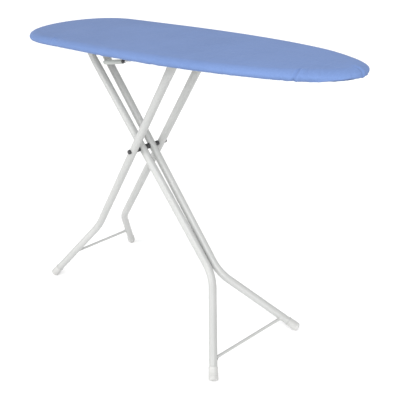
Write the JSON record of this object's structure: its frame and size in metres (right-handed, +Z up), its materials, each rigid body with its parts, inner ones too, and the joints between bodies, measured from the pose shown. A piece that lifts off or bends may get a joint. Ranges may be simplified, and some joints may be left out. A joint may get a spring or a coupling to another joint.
{
  "type": "ironing board",
  "caption": "Folding ironing board on a scissor frame of bent steel tube legs, with a perforated steel top, a felt pad, an elasticated blue cotton cover and a squeeze height lever.",
  "frame": {"origin": "on the floor under the middle of the board", "axes": "+X towards the narrow nose of the board, +Y across it, +Z up"},
  "size_m": [1.1656, 0.3474, 0.833],
  "materials": {
    "white_coat": "smooth white powder coat",
    "frame_coat": "light grey powder coat",
    "zinc_steel": "bright zinc plate",
    "cap_plastic": "white moulded plastic",
    "black_nylon": "black moulded nylon",
    "grip_plastic": "light grey moulded plastic",
    "felt": "pressed fibre pad",
    "blue_cotton": "plain woven blue cotton",
    "elastic": "braided elastic cord"
  },
  "bodies": {
    "board": {"top_panel": "frame_coat", "pad": "felt", "cover": "blue_cotton", "hem_cord": "elastic", "tail_brace": "frame_coat", "nose_brace": "frame_coat", "rail_near": "frame_coat", "rail_far": "frame_coat", "hinge_bracket_near": "frame_coat", "hinge_bracket_far": "frame_coat", "lever_bracket_outer": "frame_coat", "lever_bracket_inner": "frame_coat", "return_spring": "zinc_steel", "hinge_pin": "zinc_steel", "hinge_spacer": "black_nylon", "hinge_cap_near": "black_nylon", "hinge_cap_far": "black_nylon", "rail_rivet_near_1": "zinc_steel", "rail_rivet_near_2": "zinc_steel", "rail_rivet_near_3": "zinc_steel", "rail_rivet_far_1": "zinc_steel", "rail_rivet_far_2": "zinc_steel", "rail_rivet_far_3": "zinc_steel", "hinge_rivet_near_1": "zinc_steel", "hinge_rivet_near_2": "zinc_steel", "hinge_rivet_far_1": "zinc_steel", "hinge_rivet_far_2": "zinc_steel"},
    "inner_legs": {"inner_leg_near": "white_coat", "inner_leg_far": "white_coat", "inner_foot_rod": "white_coat", "inner_foot_cap_near": "cap_plastic", "inner_foot_cap_far": "cap_plastic", "centre_spacer": "black_nylon"},
    "outer_legs": {"outer_leg_near": "white_coat", "outer_leg_far": "white_coat", "outer_foot_rod": "white_coat", "outer_foot_cap_near": "cap_plastic", "outer_foot_cap_far": "cap_plastic", "axle": "zinc_steel", "axle_cap_near": "black_nylon", "axle_cap_far": "black_nylon", "side_spacer_near": "black_nylon", "side_spacer_far": "black_nylon", "slide_rod": "zinc_steel", "slide_cap_near": "black_nylon", "slide_cap_far": "black_nylon"},
    "lever": {"lever_wire": "zinc_steel", "lever_grip": "grip_plastic", "grip_collar": "black_nylon", "latch_bar": "zinc_steel"}
  },
  "joints": [
    {"name": "inner_leg_fold", "type": "hinge", "parent": "board", "child": "inner_legs", "pos_m": [-0.39263, 0, 0.797], "axis": [0, -1, 0], "range_deg": [-6.1, 47.7]},
    {"name": "scissor_pivot", "type": "hinge", "parent": "inner_legs", "child": "outer_legs", "pos_m": [-0.1628, 0, 0.5153], "axis": [0, 1, 0], "range_deg": [-12.2, 95.4]},
    {"name": "lever_squeeze", "type": "hinge", "parent": "board", "child": "lever", "pos_m": [-0.031, 0, 0.809], "axis": [0, 1, 0], "range_deg": [0, 7], "stiffness_Nm_per_rad": 3, "springref_deg": -8.59}
  ],
  "couplings": [
    {"joint": "scissor_pivot", "follows": "inner_leg_fold", "ratio": 2}
  ]
}
